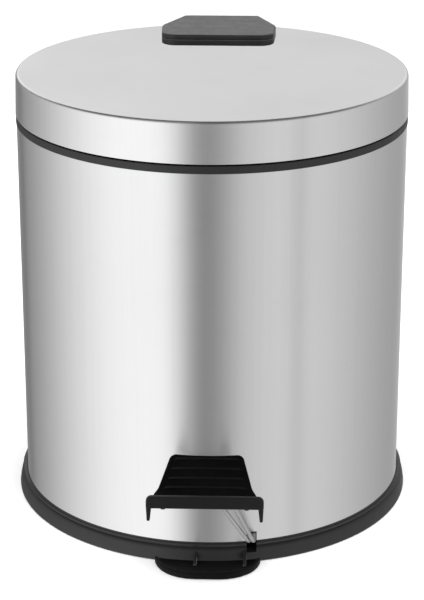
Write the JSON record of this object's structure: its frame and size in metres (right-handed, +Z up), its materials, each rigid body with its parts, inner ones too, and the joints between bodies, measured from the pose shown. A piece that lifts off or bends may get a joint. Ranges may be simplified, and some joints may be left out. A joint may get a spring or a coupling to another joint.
{
  "type": "pedal bin",
  "caption": "Round steel pedal bin with a hinged lid opened by a foot lever and a push rod, and a lift-out inner bucket.",
  "frame": {"origin": "centre of the floor disc, on the surface the bin stands on", "axes": "+Z up along the body's axis, -Y to the front where the pedal is, +Y to the hinge"},
  "size_m": [0.2128, 0.2514, 0.2381],
  "materials": {
    "steel": "brushed round the body, satin",
    "lid_steel": "satin",
    "dark_moulding": "fine moulded grain",
    "black_moulding": "fine moulded grain",
    "cover_moulding": "fine moulded grain",
    "tread_moulding": "fine moulded grain, rubbed on the ribs",
    "bucket_moulding": "satin",
    "wire": "bright drawn wire",
    "zinc": "bright zinc",
    "soft_rubber": "matt"
  },
  "bodies": {
    "bin": {"body_shell": "steel", "rim_ring": "dark_moulding", "base_ring": "black_moulding", "base_floor": "black_moulding", "base_screws": "zinc", "axle_saddles": "black_moulding", "saddle_screws": "zinc", "pedal_axle": "wire", "hinge_bracket": "black_moulding", "bracket_rivets": "zinc", "hinge_pin": "wire", "rod_guide": "black_moulding"},
    "lid": {"lid_shell": "lid_steel", "lid_liner": "dark_moulding", "hinge_arm": "black_moulding", "hinge_cover_base": "cover_moulding", "hinge_cover_cap": "cover_moulding", "cover_screws": "zinc", "lid_bumpers": "soft_rubber"},
    "pedal": {"pedal_tread": "tread_moulding", "pedal_lever": "wire", "wire_clips": "black_moulding"},
    "rod": {"push_rod": "wire", "rod_cap": "black_moulding", "rod_foot": "black_moulding"},
    "bucket": {"inner_bucket": "bucket_moulding"},
    "bail": {"bail_wire": "wire"}
  },
  "joints": [
    {"name": "lid_hinge", "type": "hinge", "parent": "bin", "child": "lid", "pos_m": [0, 0.1074, 0.213], "axis": [-1, 0, 0], "range_deg": [0, 78]},
    {"name": "pedal_pivot", "type": "hinge", "parent": "bin", "child": "pedal", "pos_m": [0, -0.032, 0.0144], "axis": [1, 0, 0], "range_deg": [0, 5.33]},
    {"name": "rod_slide", "type": "slide", "parent": "bin", "child": "rod", "axis": [0, 0, 1], "range_m": [0, 0.01196]},
    {"name": "bucket_lift", "type": "slide", "parent": "bin", "child": "bucket", "axis": [0, 0, 1], "range_m": [0, 0.006]},
    {"name": "bail_swing", "type": "hinge", "parent": "bucket", "child": "bail", "pos_m": [0, 0, 0.2082], "axis": [-1, 0, 0], "range_deg": [0, 8]}
  ],
  "couplings": [
    {"joint": "pedal_pivot", "follows": "lid_hinge", "ratio": 0.068308},
    {"joint": "rod_slide", "follows": "lid_hinge", "m_per_rad": 0.0087854}
  ]
}
